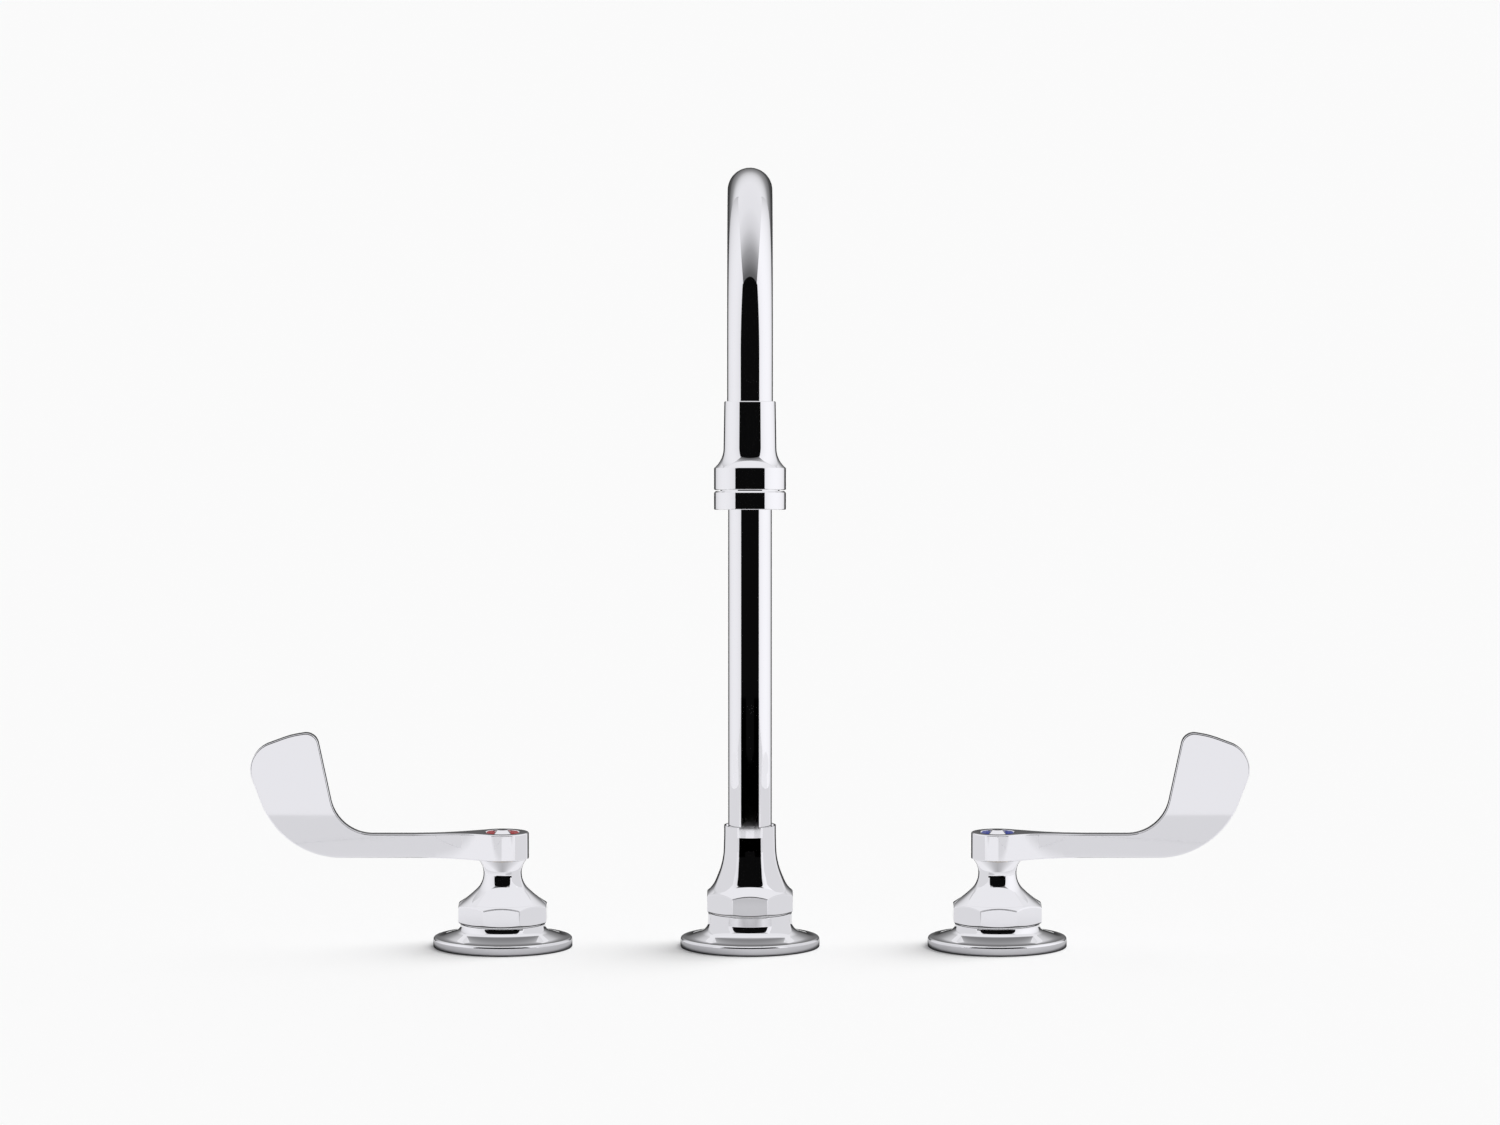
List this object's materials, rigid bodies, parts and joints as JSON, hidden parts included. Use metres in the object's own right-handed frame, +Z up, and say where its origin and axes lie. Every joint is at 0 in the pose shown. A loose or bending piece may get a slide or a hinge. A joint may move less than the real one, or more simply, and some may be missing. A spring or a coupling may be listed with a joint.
{
  "type": "basin faucet",
  "caption": "Widespread basin faucet with a swivelling gooseneck spout, round escutcheons, eight-sided bonnets and quarter-turn blade levers for hot and cold.",
  "frame": {"origin": "on the deck's top surface, at the centre line of the spout's riser", "axes": "+Z up from the deck; the spout reaches towards -Y at rest; the hot valve is towards -X and the cold valve towards +X"},
  "size_m": [0.4096, 0.1781, 0.4019],
  "materials": {
    "chrome_plate": "polished chrome plating on brass",
    "rough_brass": "cast brass, tumbled",
    "turned_brass": "turned brass",
    "zinc_steel": "steel, satin",
    "black_rubber": "moulded rubber",
    "white_plastic": "moulded plastic",
    "ceramic_disc": "lapped ceramic",
    "red_plastic": "glossy red",
    "blue_plastic": "glossy dark blue"
  },
  "bodies": {
    "deck_assembly": {"hot_valve_body": "rough_brass", "hot_escutcheon": "chrome_plate", "hot_gasket": "black_rubber", "hot_cushion_washer": "black_rubber", "hot_clamp_washer": "zinc_steel", "hot_mounting_nut": "rough_brass", "hot_bonnet": "chrome_plate", "hot_seat_seal": "black_rubber", "hot_fixed_disc": "ceramic_disc", "hot_cartridge_body": "turned_brass", "hot_cartridge_o_ring": "black_rubber", "hot_crossover_tube": "turned_brass", "hot_compression_sleeves": "turned_brass", "hot_compression_nuts": "turned_brass", "cold_valve_body": "rough_brass", "cold_escutcheon": "chrome_plate", "cold_gasket": "black_rubber", "cold_cushion_washer": "black_rubber", "cold_clamp_washer": "zinc_steel", "cold_mounting_nut": "rough_brass", "cold_bonnet": "chrome_plate", "cold_seat_seal": "black_rubber", "cold_fixed_disc": "ceramic_disc", "cold_cartridge_body": "turned_brass", "cold_cartridge_o_ring": "black_rubber", "cold_crossover_tube": "turned_brass", "cold_compression_sleeves": "turned_brass", "cold_compression_nuts": "turned_brass", "spout_body": "rough_brass", "spout_escutcheon": "chrome_plate", "spout_gasket": "black_rubber", "spout_cushion_washer": "black_rubber", "spout_clamp_washer": "zinc_steel", "spout_mounting_nut": "rough_brass", "spout_bonnet": "chrome_plate"},
    "spout": {"gooseneck": "chrome_plate", "swivel_ferrule": "turned_brass", "swivel_o_rings": "black_rubber", "thrust_washer": "white_plastic", "outlet_adapter": "chrome_plate", "aerator_housing": "chrome_plate", "aerator_washer": "black_rubber", "aerator_insert": "white_plastic"},
    "hot_handle": {"hot_lever": "chrome_plate", "hot_lever_screw": "zinc_steel", "hot_index_ring": "red_plastic", "hot_index_button": "chrome_plate", "hot_stem": "turned_brass", "hot_stem_o_rings": "black_rubber", "hot_stem_clip": "zinc_steel", "hot_moving_disc": "ceramic_disc"},
    "cold_handle": {"cold_lever": "chrome_plate", "cold_lever_screw": "zinc_steel", "cold_index_ring": "blue_plastic", "cold_index_button": "chrome_plate", "cold_stem": "turned_brass", "cold_stem_o_rings": "black_rubber", "cold_stem_clip": "zinc_steel", "cold_moving_disc": "ceramic_disc"}
  },
  "joints": [
    {"name": "spout_swing", "type": "hinge", "parent": "deck_assembly", "child": "spout", "pos_m": [0, 0, 0.022], "axis": [0, 0, 1], "continuous": true},
    {"name": "hot_handle_turn", "type": "hinge", "parent": "deck_assembly", "child": "hot_handle", "pos_m": [-0.1016, 0, 0.036], "axis": [0, 0, 1], "range_deg": [0, 90]},
    {"name": "cold_handle_turn", "type": "hinge", "parent": "deck_assembly", "child": "cold_handle", "pos_m": [0.1016, 0, 0.036], "axis": [0, 0, 1], "range_deg": [-90, 0]}
  ]
}
